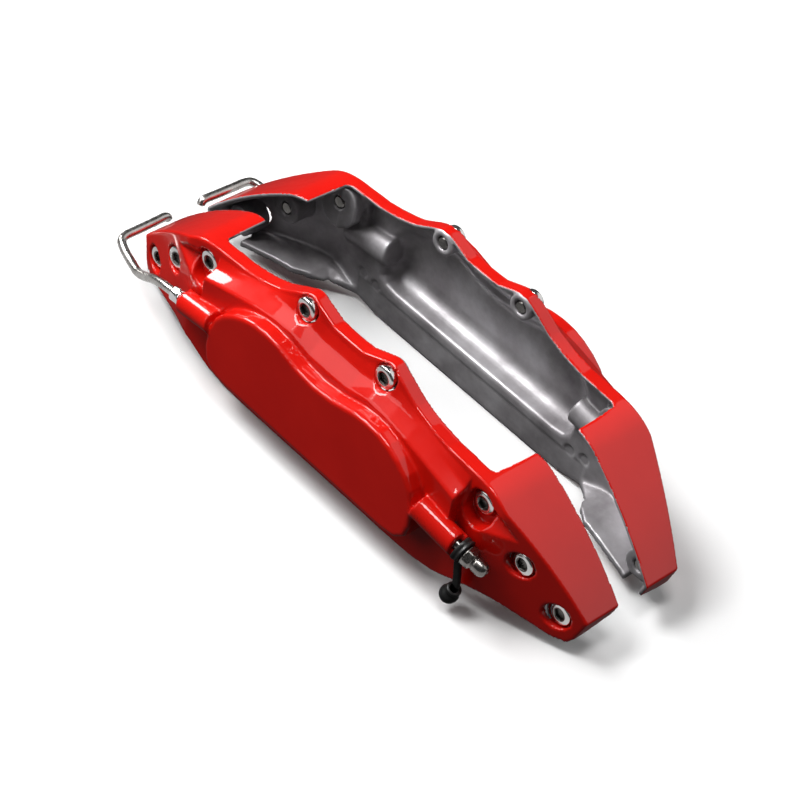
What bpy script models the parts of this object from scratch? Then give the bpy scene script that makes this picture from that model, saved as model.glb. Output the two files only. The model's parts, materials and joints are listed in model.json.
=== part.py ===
"""A pair of die-cast brake caliper cover shells, mirror images standing back to back.

Each shell is a hollow casting with a wavy deck on top, a stepped outer face, a raised oval pad and
two round bosses. Socket screws sit in counterbores. A fluid pipe with its union nut leaves one boss,
and a bleed screw with a hanging rubber dust cap leaves the other. +X runs along the shells towards
the bleed screws, +Z is up, and the right shell lies at -Y.
"""

import math

import bmesh
import bpy
from mathutils import Matrix, Vector

MM = 0.001
RIGHT, LEFT = -1, 1
PIPE_END, BLEED_END = -1, 1

# Driving dimensions of one shell. x is measured from its middle, y from the plane between the two
# shells, and z from the deck's height at the ends of the window.
HALF_LENGTH = 140.5 * MM
STANDING_HEIGHT = 64.5 * MM
PIPE_REACH = 148.2 * MM
WALL = 3.0 * MM
GAP = 0.3 * MM
FACE_Y = 42.0 * MM
LOWER_FACE_Y = 45.0 * MM
FOOT_FACE_Y = 46.0 * MM
FACET_START_X = 100.0 * MM
FACET_SLOPE = 0.36
STRIP_EDGE_Y = 35.3 * MM
DECK_END_Y = 8.3 * MM
# The deck's edge round each end of the window, x and y: its tip, its inner corner and the strip.
WINDOW_END = [(84.1, 11.9), (83.2, 34.0), (81.0, 35.3)]

# Half outline of the deck, x and z: two humps, then an arc down to the end.
DECK_OUTLINE = [
    (0.0, 9.4), (9.0, 9.6), (18.0, 13.2), (22.0, 14.6), (26.0, 14.6),
    (33.0, 11.0), (42.0, 5.6), (52.0, 2.4), (63.0, 0.4), (70.0, 0.0), (76.0, -0.4), (82.0, -0.8),
    (87.3, -1.7), (92.0, -3.2), (96.0, -5.2),
]  # fmt: skip
END_ARC_CENTRE = (-10.5, -172.5)
END_ARC_RADIUS = 198.3
END_ARC_STEPS = 7
FOOT_OUTLINE = [
    (137.0, -55.0), (134.5, -58.6), (131.0, -60.0), (119.0, -57.6), (105.0, -55.3), (97.0, -54.6),
    (90.0, -54.8), (85.0, -56.4), (79.0, -59.2), (72.0, -61.9), (60.0, -64.0), (45.0, -64.5),
]  # fmt: skip

# Half outlines of the shoulder: just under the deck's edge, at the upper ridge, and at the outer ridge.
SHOULDER_TOP = [
    (0.0, 8.6), (12.0, 9.6), (24.0, 13.8), (36.0, 8.6), (47.0, 3.4), (60.0, 0.2), (78.0, -1.6),
]  # fmt: skip
SHOULDER_RIDGE = [
    (0.0, 2.0), (12.0, 2.2), (24.0, 4.2), (36.0, 3.2), (47.0, 1.0), (60.0, -2.5), (78.0, -8.4),
]  # fmt: skip
SHOULDER_EDGE = [
    (0.0, -4.6), (12.0, -4.2), (24.0, -1.0), (36.0, -1.8), (47.0, -3.6), (60.0, -6.8), (77.0, -11.3),
]  # fmt: skip
SHOULDER_BOTTOM = [(78.0, -28.0), (62.0, -26.0), (0.0, -30.0)]
SHOULDER_Y = (41.4, 44.4, 50.8)

# Half outline of the raised pad's face.
PAD_OUTLINE = [
    (0.0, -10.0), (11.0, -8.8), (24.0, -5.4), (31.0, -4.7), (38.0, -5.2), (44.0, -6.9), (50.5, -10.0),
    (56.0, -14.0), (60.0, -19.0), (62.5, -26.0), (63.0, -36.0), (61.5, -42.0), (57.5, -45.6),
    (50.0, -46.8), (0.0, -46.8),
]  # fmt: skip
PAD_ROOT_Y = 42.5 * MM
PAD_FACE_Y = 58.0 * MM
PAD_FLANK = 1.5 * MM
PAD_BEVEL = 1.2 * MM
PAD_RECESS_INSET = 3.2 * MM

# Round bosses on the outer face. The axis leans down and inwards towards each end of the shell.
BOSS_RADIUS = 5.6 * MM
BOSS_END = Vector((87.0, 51.4, -30.6)) * MM
BOSS_LENGTH = 24.0 * MM
BOSS_DIRECTION = Vector((0.965, -0.111, -0.235)).normalized()
# The boss's inner side bulges into the hollow along this line.
BULGE_LINE = (Vector((85.0, 44.4, -31.4)) * MM, Vector((58.5, 44.6, -28.2)) * MM)
BULGE_RADIUS = 5.0 * MM
BORE_RADIUS = 2.5 * MM
BORE_DEPTH = 8.0 * MM

# Screws along Y: |x|, z, |y| of the head's top, |y| of the inner boss's end, radii of the
# counterbore and of the inner boss.
SCREWS = {
    "hump": (24.1, 8.4, 44.3, 34.3, 5.9, 6.1),
    "pocket": (85.6, -12.7, 41.3, 33.5, 6.7, 9.4),
    "end_inner": (109.0, -29.9, 37.6, 26.0, 6.3, 7.6),
    "end_outer": (127.9, -47.3, 29.9, 17.5, 6.3, 7.6),
}
POCKET_FLOOR_Y = 38.6 * MM
POCKET_LOW_Z = -17.0 * MM
HEAD_RADIUS = 5.35 * MM
HEAD_HEIGHT = 3.2 * MM
SHANK_RADIUS = 3.0 * MM
SOCKET_ACROSS_FLATS = 5.0 * MM
SOCKET_DEPTH = 2.0 * MM
BOSS_OVERLAP = 3.2 * MM

# Pipe: route of its centre line, x, |y| and z, from the union nut to the open end of the shell.
PIPE_RADIUS = 2.1 * MM
PIPE_ROUTE = [
    (-93.6, 50.6, -32.2), (-98.5, 50.1, -33.4), (-104.0, 49.2, -35.0), (-111.0, 47.9, -38.4),
    (-118.0, 46.0, -43.2), (-125.5, 43.6, -47.4), (-132.5, 41.8, -47.4), (-139.5, 40.4, -45.7),
    (-143.6, 38.4, -44.7), (-145.1, 34.8, -44.5), (-145.4, 27.5, -44.6), (-145.8, 18.0, -44.8),
    (-146.1, 12.8, -44.9), (-146.0, 10.4, -45.5), (-145.5, 9.4, -47.6),
]  # fmt: skip
PIPE_STEPS_PER_STRETCH = 4
NUT_LENGTH = 7.0 * MM
NUT_RADIUS = 3.6 * MM
SOCKETED_LENGTH = 6.0 * MM
SPIGOT_RADIUS = 2.2 * MM

# Bleed screw profile, from the boss's end outwards: distance along the axis and radius.
BLEED_NECK = [(0.3, 3.2), (3.9, 3.2)]
BLEED_FLANGE = [(4.2, 4.5), (4.9, 4.5)]
HEX_START, HEX_END = 4.6 * MM, 8.3 * MM
HEX_ACROSS_FLATS = 8.2 * MM
NOSE_PROFILE = [(8.0, 3.1), (9.2, 3.1), (9.7, 3.45), (12.4, 3.45), (14.2, 3.0), (15.6, 1.3)]

# Dust cap: a ring on the bleed screw's neck, a strap, and a cap hanging below.
RING_INNER_RADIUS = 3.5 * MM
RING_OUTER_RADIUS = 5.75 * MM
RING_SPAN = (0.3 * MM, 3.7 * MM)
STRAP_ROUTE = [(87.9, 51.3, -35.8), (89.2, 51.9, -41.0), (91.0, 52.7, -47.0), (91.0, 52.8, -52.0)]
STRAP_WIDTH = 3.4 * MM
STRAP_THICKNESS = 2.2 * MM
CAP_MOUTH = Vector((91.0, 52.8, -51.0)) * MM
CAP_DIRECTION = Vector((-0.38, 0.0, -0.925)).normalized()
CAP_PROFILE = [
    (0.0, 3.4), (1.4, 3.4), (1.8, 3.0), (2.4, 3.3), (4.0, 4.2), (5.6, 4.4), (7.4, 3.9), (8.8, 2.7),
    (9.6, 1.0),
]  # fmt: skip
CAP_BORE_RADIUS = 2.1 * MM
CAP_BORE_DEPTH = 6.0 * MM


def clear_scene():
    for item in list(bpy.data.objects):
        bpy.data.objects.remove(item)


def make_material(name, colour, metallic, roughness):
    material = bpy.data.materials.new(name)
    material.use_nodes = True
    shader = material.node_tree.nodes["Principled BSDF"]
    shader.inputs["Base Color"].default_value = (*colour, 1.0)
    shader.inputs["Metallic"].default_value = metallic
    shader.inputs["Roughness"].default_value = roughness
    return material


def new_object(name, mesh):
    item = bpy.data.objects.new(name, mesh)
    bpy.context.scene.collection.objects.link(item)
    return item


def mesh_from(name, build):
    """A mesh filled by the function build, with its normals facing out."""
    shape = bmesh.new()
    build(shape)
    bmesh.ops.recalc_face_normals(shape, faces=shape.faces)
    mesh = bpy.data.meshes.new(name)
    shape.to_mesh(mesh)
    shape.free()
    return mesh


def add_rings(shape, rings):
    """Faces through closed rings of points, each with as many points, and a cap on each end."""
    loops = [[shape.verts.new(point) for point in ring] for ring in rings]
    count = len(loops[0])
    for lower, upper in zip(loops, loops[1:]):
        for i in range(count):
            j = (i + 1) % count
            shape.faces.new((lower[i], lower[j], upper[j], upper[i]))
    shape.faces.new(loops[0])
    shape.faces.new(loops[-1])


def loft(name, rings):
    return new_object(name, mesh_from(name, lambda shape: add_rings(shape, rings)))


def turned(name, profile, segments, origin, direction):
    """A solid of revolution. profile holds distances along direction from origin, with radii."""
    turn = direction.to_track_quat("Z", "Y").to_matrix()
    angles = [math.tau * i / segments for i in range(segments)]
    rings = [
        [origin + turn @ Vector((radius * math.cos(a), radius * math.sin(a), along)) for a in angles]
        for along, radius in profile
    ]
    return loft(name, rings)


def rod(name, start, end, radius, segments=24):
    axis = end - start
    return turned(name, [(0.0, radius), (axis.length, radius)], segments, start, axis.normalized())


def baked(item):
    """The object's evaluated mesh, as a new mesh."""
    graph = bpy.context.evaluated_depsgraph_get()
    return bpy.data.meshes.new_from_object(item.evaluated_get(graph))


def combine(item, others, operation):
    """Unites the item with the others or cuts them from it, and removes the others."""
    for other in others:
        boolean = item.modifiers.new(other.name, "BOOLEAN")
        boolean.operation = operation
        boolean.object = other
    mesh = baked(item)
    item.modifiers.clear()
    item.data = mesh
    for other in others:
        bpy.data.objects.remove(other)
    return item


def in_mm(points):
    return [(x * MM, z * MM) for x, z in points]


def whole_outline(half):
    """A closed outline, symmetric about x = 0, from the half with x >= 0."""
    left = [(-x, z) for x, z in reversed(half) if x > 0.0]
    return half + left


def inset(outline, distance):
    """The closed outline moved inwards by distance, or outwards if it is negative."""
    area = sum(a[0] * b[1] - b[0] * a[1] for a, b in zip(outline, outline[1:] + outline[:1]))
    turn = math.copysign(1.0, area)
    moved = []
    for i, point in enumerate(outline):
        here = Vector(point)
        before = (here - Vector(outline[i - 1])).normalized()
        after = (Vector(outline[(i + 1) % len(outline)]) - here).normalized()
        normal = Vector((-before.y - after.y, before.x + after.x)).normalized() * turn
        half_angle = normal.dot(Vector((-after.y, after.x)) * turn)
        moved.append(tuple(here + normal * (distance / half_angle)))
    return moved


def upright(outline, y):
    """The ring of points of an x, z outline at distance y on the right-hand side."""
    return [Vector((x, -y, z)) for x, z in outline]


def silhouette():
    """The shell's closed outline seen along Y, from the middle of the deck round the bleed end."""
    centre_x, centre_z = END_ARC_CENTRE
    start = DECK_OUTLINE[-1][0]
    arc = []
    for i in range(1, END_ARC_STEPS + 1):
        x = start + (HALF_LENGTH / MM - start) * i / END_ARC_STEPS
        arc.append((x, centre_z + math.sqrt(END_ARC_RADIUS**2 - (x - centre_x) ** 2)))
    return whole_outline(in_mm(DECK_OUTLINE + arc + FOOT_OUTLINE))


def facet_y(x):
    return FACE_Y - FACET_SLOPE * (x - FACET_START_X)


def plan_ring(face_y, z, shift=0.0, open_gap=False):
    """The plan outline at height z. shift moves the outer side inwards for the cavity."""
    corner_x = FACET_START_X - (face_y - FACE_Y) / FACET_SLOPE
    far_x = HALF_LENGTH + 6.0 * MM
    lean = shift * math.sqrt(1.0 + FACET_SLOPE**2)
    bend_x = corner_x + (shift - lean) / FACET_SLOPE
    half = [(0.0, face_y - shift), (bend_x, face_y - shift), (far_x, facet_y(far_x) - lean)]
    if open_gap:
        half += [(far_x, 0.0)]
    else:
        half += [(far_x, DECK_END_Y), (HALF_LENGTH, DECK_END_Y), *in_mm(WINDOW_END)]
    half += [(0.0, 0.0 if open_gap else STRIP_EDGE_Y)]
    left = [(-x, y) for x, y in reversed(half) if x > 0.0]
    return [Vector((x, -y, z)) for x, y in half + left]


def plan_prism(name, shift=0.0, open_gap=False):
    """The housing's plan carried from below the foot to above the humps, stepping out at the face."""
    steps = [
        (FOOT_FACE_Y, -70.0 * MM), (LOWER_FACE_Y, -15.5 * MM), (FACE_Y + 0.6 * MM, -10.0 * MM),
        (FACE_Y - 0.4 * MM, 20.0 * MM),
    ]  # fmt: skip
    return loft(name, [plan_ring(face_y, z, shift, open_gap) for face_y, z in steps])


def housing():
    outline = silhouette()
    solid = loft("housing", [upright(outline, 4.0 * MM), upright(outline, 50.0 * MM)])
    return combine(solid, [plan_prism("plan")], "INTERSECT")


def housing_cavity():
    outline = inset(silhouette(), WALL)
    solid = loft("cavity", [upright(outline, -1.0 * MM), upright(outline, 50.0 * MM)])
    return combine(solid, [plan_prism("cavity_plan", WALL, open_gap=True)], "INTERSECT")


def shoulder(name, shift=0.0, root_y=39.5 * MM):
    """The sloped shoulder above the pad, from root_y outwards. shift shrinks it for its hollow."""
    sections = (SHOULDER_TOP, SHOULDER_RIDGE, SHOULDER_EDGE)
    outlines = [inset(whole_outline(in_mm(half + SHOULDER_BOTTOM)), shift) for half in sections]
    rings = [upright(outlines[0], root_y)]
    rings += [upright(outline, y * MM - shift) for outline, y in zip(outlines, SHOULDER_Y)]
    return loft(name, rings)


def pad():
    outline = whole_outline(in_mm(PAD_OUTLINE))
    root = inset(outline, -PAD_FLANK)
    return loft(
        "pad",
        [
            upright(root, PAD_ROOT_Y),
            upright(root, PAD_FACE_Y - PAD_BEVEL - PAD_FLANK),
            upright(inset(outline, PAD_BEVEL - PAD_FLANK), PAD_FACE_Y - PAD_BEVEL),
            upright(inset(outline, PAD_BEVEL), PAD_FACE_Y),
        ],
    )


def pad_recess():
    outline = whole_outline(in_mm(PAD_OUTLINE))
    floor = inset(outline, PAD_RECESS_INSET)
    mouth = inset(outline, PAD_RECESS_INSET - PAD_FLANK)
    rings = [upright(mouth, PAD_ROOT_Y - 6.0 * MM), upright(mouth, 50.0 * MM)]
    return loft("pad_recess", [*rings, upright(floor, PAD_FACE_Y - WALL)])


def floor_opening():
    """What is cut from the bottom: all between the two end lips."""
    half = [
        (0.0, 43.0), (72.0, 43.0), (80.0, 36.5), (87.0, 26.0), (94.0, 20.8), (110.0, 18.0), (127.0, 15.5),
        (137.0, 11.0), (137.0, 0.0), (0.0, 0.0),
    ]  # fmt: skip
    left = [(-x, y) for x, y in reversed(half) if x > 0.0]
    outline = in_mm(half + left)
    return loft("floor_opening", [[Vector((x, -y, z * MM)) for x, y in outline] for z in (-70.0, -50.5)])


def end_relief(end):
    """A wedge that lifts the end wall's lower edge towards the gap."""
    section = in_mm([(5.0, -49.0), (27.5, -57.5), (27.5, -75.0), (5.0, -75.0)])
    rings = [[Vector((x * MM * end, -y, z)) for y, z in section] for x in (124.0, 146.0)]
    return loft("end_relief", rings)


def boss_frame(end):
    """The end point and outward direction of the boss at this end of the right-hand shell."""
    flip = Vector((end, -1.0, 1.0))
    return BOSS_END * flip, BOSS_DIRECTION * flip


def bulges():
    """The inner sides of both bosses, which the hollow leaves standing."""
    start, stop = BULGE_LINE
    rods = []
    for end in (PIPE_END, BLEED_END):
        flip = Vector((end, -1.0, 1.0))
        rods.append(rod("bulge", start * flip, stop * flip, BULGE_RADIUS, 24))
    return rods


def slot(name, place, radius, inner_y, outer_y):
    """An upright round-ended prism: the pocket's outline, from its screw down to its low end."""
    outline = []
    for i in range(24):
        angle = math.tau * i / 24
        z = place.z if math.sin(angle) >= 0.0 else POCKET_LOW_Z
        outline.append((place.x + radius * math.cos(angle), z + radius * math.sin(angle)))
    outline.insert(13, (place.x - radius, POCKET_LOW_Z))
    outline.append((place.x + radius, POCKET_LOW_Z))
    return loft(name, [upright(outline, inner_y), upright(outline, outer_y)])


def screw_places():
    """Number, kind, position, |y| of the head and the inner boss's end, and both radii, for one shell."""
    order = ["end_outer", "end_inner", "pocket", "hump"]
    sequence = [(kind, PIPE_END) for kind in order] + [(kind, BLEED_END) for kind in reversed(order)]
    for number, (kind, end) in enumerate(sequence, 1):
        x, z, head_y, inner_y, radius, boss_radius = (value * MM for value in SCREWS[kind])
        yield number, kind, Vector((x * end, 0.0, z)), head_y, inner_y, radius, boss_radius


def build_shell_mesh():
    """The right-hand shell."""
    shell = housing()
    bosses = []
    for end in (PIPE_END, BLEED_END):
        tip, direction = boss_frame(end)
        bosses.append(rod("boss", tip - direction * BOSS_LENGTH, tip, BOSS_RADIUS))
    combine(shell, [shoulder("shoulder"), pad(), *bosses], "UNION")
    hollows = [housing_cavity(), shoulder("shoulder_hollow", WALL, root_y=34.0 * MM), pad_recess()]
    hollows += [floor_opening(), end_relief(PIPE_END), end_relief(BLEED_END)]
    combine(shell, hollows, "DIFFERENCE")
    combine(shell, bulges(), "UNION")
    inner_bosses, holes = [], []
    for _, kind, place, head_y, inner_y, radius, boss_radius in screw_places():
        seat_y = head_y - HEAD_HEIGHT - GAP
        outer = Vector((place.x, -(seat_y + BOSS_OVERLAP), place.z))
        inner = Vector((place.x, -inner_y, place.z))
        if kind == "pocket":
            inner_bosses.append(slot("inner_boss", place, boss_radius, inner_y, seat_y + BOSS_OVERLAP))
        else:
            inner_bosses.append(rod("inner_boss", inner, outer, boss_radius, 20))
        seat = Vector((place.x, -seat_y, place.z))
        mouth = Vector((place.x, -60.0 * MM, place.z))
        if kind == "pocket":
            holes.append(slot("pocket", place, radius, POCKET_FLOOR_Y, 60.0 * MM))
            radius = HEAD_RADIUS + GAP
        holes.append(rod("counterbore", seat, mouth, radius, 24))
        holes.append(rod("clearance_hole", Vector((place.x, 0.0, place.z)), mouth, SHANK_RADIUS + GAP, 12))
    combine(shell, inner_bosses, "UNION")
    for end in (PIPE_END, BLEED_END):
        tip, direction = boss_frame(end)
        holes.append(rod("bore", tip - direction * BORE_DEPTH, tip + direction * MM, BORE_RADIUS, 16))
    combine(shell, holes, "DIFFERENCE")
    mesh = shell.data
    bpy.data.objects.remove(shell)
    return mesh


def mirrored(mesh, name):
    """A copy of the mesh reflected in the plane between the shells."""
    shape = bmesh.new()
    shape.from_mesh(mesh)
    bmesh.ops.transform(shape, matrix=Matrix.Scale(-1.0, 4, Vector((0.0, 1.0, 0.0))), verts=shape.verts)
    bmesh.ops.reverse_faces(shape, faces=shape.faces)
    copy = bpy.data.meshes.new(name)
    shape.to_mesh(copy)
    shape.free()
    return copy


def screw_mesh(kind):
    """A button-head socket screw along +Z, with its head's top at the origin's height."""
    head_y, inner_y = (value * MM for value in SCREWS[kind][2:4])
    length = head_y - inner_y - 0.5 * MM
    profile = [
        (-length, SHANK_RADIUS - 0.5 * MM), (-length + 0.5 * MM, SHANK_RADIUS), (-HEAD_HEIGHT, SHANK_RADIUS),
        (-HEAD_HEIGHT, HEAD_RADIUS), (-1.0 * MM, HEAD_RADIUS), (0.0, HEAD_RADIUS - 0.9 * MM),
    ]  # fmt: skip
    up = Vector((0.0, 0.0, 1.0))
    screw = turned("screw", profile, 20, Vector(), up)
    corner = SOCKET_ACROSS_FLATS / math.sqrt(3.0)
    socket = rod("socket", -up * SOCKET_DEPTH, up * MM, corner, 6)
    combine(screw, [socket], "DIFFERENCE")
    mesh = screw.data
    bpy.data.objects.remove(screw)
    return mesh


def smooth_route(points, steps):
    """Points along a smooth curve through the given points, by Catmull-Rom."""
    ends = [2 * points[0] - points[1], *points, 2 * points[-1] - points[-2]]
    route = []
    for a, b, c, d in zip(ends, ends[1:], ends[2:], ends[3:]):
        for i in range(steps):
            t = i / steps
            square, cube = (2 * a - 5 * b + 4 * c - d) * t**2, (3 * b - 3 * c + d - a) * t**3
            route.append(0.5 * (2 * b + (c - a) * t + square + cube))
    return [*route, points[-1]]


def pipe(name, side):
    """The bent fluid pipe, a curve with a round bevel."""
    points = [Vector((x, side * y, z)) * MM for x, y, z in PIPE_ROUTE]
    route = smooth_route(points, PIPE_STEPS_PER_STRETCH)
    curve = bpy.data.curves.new(name, "CURVE")
    curve.dimensions = "3D"
    curve.bevel_depth = PIPE_RADIUS
    curve.bevel_resolution = 2
    curve.use_fill_caps = True
    spline = curve.splines.new("POLY")
    spline.points.add(len(route) - 1)
    for point, place in zip(spline.points, route):
        point.co = (*place, 1.0)
    return new_object(name, curve)


def union_nut_mesh():
    """The hexagonal union nut along +Z from the boss's end, with a spigot inside the boss's bore."""
    up = Vector((0.0, 0.0, 1.0))
    profile = [
        (-SOCKETED_LENGTH, SPIGOT_RADIUS), (GAP, SPIGOT_RADIUS), (GAP, NUT_RADIUS - 0.5 * MM),
        (GAP + 0.6 * MM, NUT_RADIUS), (NUT_LENGTH - 0.8 * MM, NUT_RADIUS), (NUT_LENGTH, NUT_RADIUS - 0.7 * MM),
    ]  # fmt: skip
    nut = turned("union_nut", profile, 18, Vector(), up)
    pipe_bore = rod("pipe_bore", up * (NUT_LENGTH - 1.5 * MM), up * (NUT_LENGTH + MM), PIPE_RADIUS + GAP, 16)
    combine(nut, [pipe_bore], "DIFFERENCE")
    mesh = nut.data
    bpy.data.objects.remove(nut)
    return mesh


def bleed_screw_mesh():
    """The bleed screw along +Z from the boss's end: spigot, neck, flange, hexagon and nose."""
    up = Vector((0.0, 0.0, 1.0))
    body = [(-SOCKETED_LENGTH, SPIGOT_RADIUS), (BLEED_NECK[0][0] * MM, SPIGOT_RADIUS)]
    body += [(along * MM, radius * MM) for along, radius in BLEED_NECK + BLEED_FLANGE]
    screw = turned("bleed_screw", body, 20, Vector(), up)
    hexagon = rod("hexagon", up * HEX_START, up * HEX_END, HEX_ACROSS_FLATS / math.sqrt(3.0), 6)
    nose = turned("nose", [(along * MM, radius * MM) for along, radius in NOSE_PROFILE], 20, Vector(), up)
    combine(screw, [hexagon, nose], "UNION")
    mesh = screw.data
    bpy.data.objects.remove(screw)
    return mesh


def strap(side):
    """A flat strap swept along its route, with its width along X."""
    route = smooth_route([Vector((x, side * y, z)) * MM for x, y, z in STRAP_ROUTE], 2)
    rings = []
    for i, place in enumerate(route):
        tangent = (route[min(i + 1, len(route) - 1)] - route[max(i - 1, 0)]).normalized()
        across = tangent.cross(Vector((0.0, 1.0, 0.0))).normalized() * STRAP_WIDTH / 2
        through = tangent.cross(across).normalized() * STRAP_THICKNESS / 2
        corners = ((1, 1), (-1, 1), (-1, -1), (1, -1))
        rings.append([place + across * a + through * b for a, b in corners])
    return loft("strap", rings)


def dust_cap(name, side):
    """The rubber ring, strap and cap in one piece, modelled where they hang."""
    flip = Vector((1.0, side, 1.0))
    origin, direction = boss_frame(BLEED_END)
    origin, direction = origin * Vector((1.0, -side, 1.0)), direction * Vector((1.0, -side, 1.0))
    inner, outer = RING_SPAN
    ring = rod(name, origin + direction * inner, origin + direction * outer, RING_OUTER_RADIUS, 24)
    mouth = CAP_MOUTH * flip
    cap_profile = [(along * MM, radius * MM) for along, radius in CAP_PROFILE]
    cap = turned("cap", cap_profile, 20, mouth, CAP_DIRECTION)
    combine(ring, [strap(side), cap], "UNION")
    start, stop = mouth - CAP_DIRECTION * 3.0 * MM, mouth + CAP_DIRECTION * CAP_BORE_DEPTH
    bore = rod("bore", start, stop, CAP_BORE_RADIUS, 16)
    hole = rod("hole", origin - direction * MM, origin + direction * 5.0 * MM, RING_INNER_RADIUS, 20)
    combine(ring, [hole, bore], "DIFFERENCE")
    ring.data.transform(Matrix.Translation(-origin))
    ring.location = origin
    return ring


def finish(item, material, parent, smooth_angle=35.0):
    """Gives the piece its material and parent, and rounds its shading between sharp edges."""
    item.data.materials.clear()
    item.data.materials.append(material)
    item.parent = parent
    if item.type == "MESH":
        item.data.shade_smooth()
        item.data.set_sharp_from_angle(angle=math.radians(smooth_angle))
    return item


def build():
    clear_scene()
    paint = make_material("red_paint", (0.62, 0.012, 0.008), 0.0, 0.16)
    steel = make_material("screw_steel", (0.62, 0.61, 0.60), 1.0, 0.24)
    pipe_steel = make_material("pipe_steel", (0.66, 0.65, 0.63), 1.0, 0.2)
    nut_steel = make_material("nut_steel", (0.80, 0.80, 0.80), 1.0, 0.15)
    dark_chrome = make_material("dark_chrome", (0.16, 0.15, 0.14), 1.0, 0.15)
    rubber = make_material("rubber", (0.015, 0.015, 0.016), 0.0, 0.45)

    assembly = bpy.data.objects.new("assembly", None)
    bpy.context.scene.collection.objects.link(assembly)
    assembly.location = ((PIPE_REACH - HALF_LENGTH) / 2, 0.0, STANDING_HEIGHT)

    right_mesh = build_shell_mesh()
    left_mesh = mirrored(right_mesh, "left_shell")
    screw_meshes = {kind: screw_mesh(kind) for kind in SCREWS}
    nut_mesh = union_nut_mesh()
    bleed_mesh = bleed_screw_mesh()

    for side, side_name, shell_mesh in ((RIGHT, "right", right_mesh), (LEFT, "left", left_mesh)):
        finish(new_object(f"{side_name}_shell", shell_mesh), paint, assembly)
        outward = Vector((0.0, side, 0.0)).to_track_quat("Z", "X")
        for number, kind, place, head_y, *_ in screw_places():
            screw = finish(new_object(f"{side_name}_screw_{number}", screw_meshes[kind]), steel, assembly)
            screw.location = (place.x, side * head_y, place.z)
            screw.rotation_euler = outward.to_euler()
        mirror = Vector((1.0, -side, 1.0))
        tip, direction = (vector * mirror for vector in boss_frame(PIPE_END))
        nut = finish(new_object(f"{side_name}_union_nut", nut_mesh), nut_steel, assembly)
        nut.location = tip
        nut.rotation_euler = direction.to_track_quat("Z", "Y").to_euler()
        finish(pipe(f"{side_name}_fluid_pipe", side), pipe_steel, assembly)
        tip, direction = (vector * mirror for vector in boss_frame(BLEED_END))
        bleed = finish(new_object(f"{side_name}_bleed_screw", bleed_mesh), dark_chrome, assembly)
        bleed.location = tip
        bleed.rotation_euler = direction.to_track_quat("Z", "Y").to_euler()
        finish(dust_cap(f"{side_name}_dust_cap", side), rubber, assembly)


build()
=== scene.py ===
"""The looks of a pair of die-cast brake caliper cover shells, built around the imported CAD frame.

Each shell is rebuilt finely as a distance field with rounded edges: gloss red paint outside, bare
die-cast metal inside. Screws, union nuts, pipes, bleed screws and rubber dust caps are detailed
pieces that stand for the CAD nodes of the same names.
"""

import math
import json

import bmesh
import bpy
import numpy as np
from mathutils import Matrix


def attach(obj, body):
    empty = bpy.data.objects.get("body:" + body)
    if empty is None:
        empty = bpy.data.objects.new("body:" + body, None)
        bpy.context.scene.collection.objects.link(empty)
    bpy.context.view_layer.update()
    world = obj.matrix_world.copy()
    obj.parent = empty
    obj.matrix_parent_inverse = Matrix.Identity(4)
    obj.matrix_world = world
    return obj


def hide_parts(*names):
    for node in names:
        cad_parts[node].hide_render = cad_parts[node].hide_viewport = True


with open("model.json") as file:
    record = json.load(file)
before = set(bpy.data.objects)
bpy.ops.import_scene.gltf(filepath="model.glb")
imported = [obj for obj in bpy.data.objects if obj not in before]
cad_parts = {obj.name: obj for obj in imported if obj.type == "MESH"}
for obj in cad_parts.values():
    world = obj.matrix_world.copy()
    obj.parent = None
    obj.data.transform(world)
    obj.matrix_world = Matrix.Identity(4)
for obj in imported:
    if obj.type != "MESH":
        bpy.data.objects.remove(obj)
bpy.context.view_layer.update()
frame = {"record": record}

import openvdb
from mathutils import Matrix, Vector

MM = 0.001
VOXEL = 0.75
SIDES = {"right": -1, "left": 1}

# ---------------------------------------------------------------------------------------------
# Dimensions of one shell in millimetres. x is |x| from its middle, y is |y| from the plane
# between the shells, and z is from the deck's height at the window's ends.

HALF_LENGTH = 140.5
STANDING_HEIGHT = 64.5
PIPE_REACH = 148.2
WALL = 3.0
DECK_OUTLINE = [
    (0.0, 9.4), (9.0, 9.6), (18.0, 13.2), (22.0, 14.6), (26.0, 14.6),
    (33.0, 11.0), (42.0, 5.6), (52.0, 2.4), (63.0, 0.4), (70.0, 0.0),
]  # fmt: skip
# The deck bends down at each end of the window: the bend's start, corner and end
DECK_BEND = ((76.0, -0.4), (88.7, -0.6), (96.0, -5.23))
END_ARC_CENTRE = (-10.5, -172.5)
END_ARC_RADIUS = 198.3
FOOT_OUTLINE = [
    (137.0, -55.0), (134.5, -58.6), (131.0, -60.0), (119.0, -57.6), (105.0, -55.3), (97.0, -54.6),
    (90.0, -54.8), (85.0, -56.4), (79.0, -59.2), (72.0, -61.9), (60.0, -64.0), (45.0, -64.5),
]  # fmt: skip
SHOULDER_TOP = [
    (0.0, 8.6), (12.0, 9.6), (24.0, 13.8), (36.0, 8.6), (47.0, 3.4), (60.0, 0.2), (78.0, -1.6),
]  # fmt: skip
SHOULDER_RIDGE = [
    (0.0, 2.0), (12.0, 2.2), (24.0, 4.2), (36.0, 3.2), (47.0, 1.0), (60.0, -2.5), (78.0, -8.4),
]  # fmt: skip
SHOULDER_EDGE = [
    (0.0, -4.6), (12.0, -4.2), (24.0, -1.0), (36.0, -1.8), (47.0, -3.6), (60.0, -6.8), (78.0, -11.5),
]  # fmt: skip
SHOULDER_Y = (41.4, 44.4, 50.8)
SHOULDER_LOW_Z = -28.0
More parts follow.
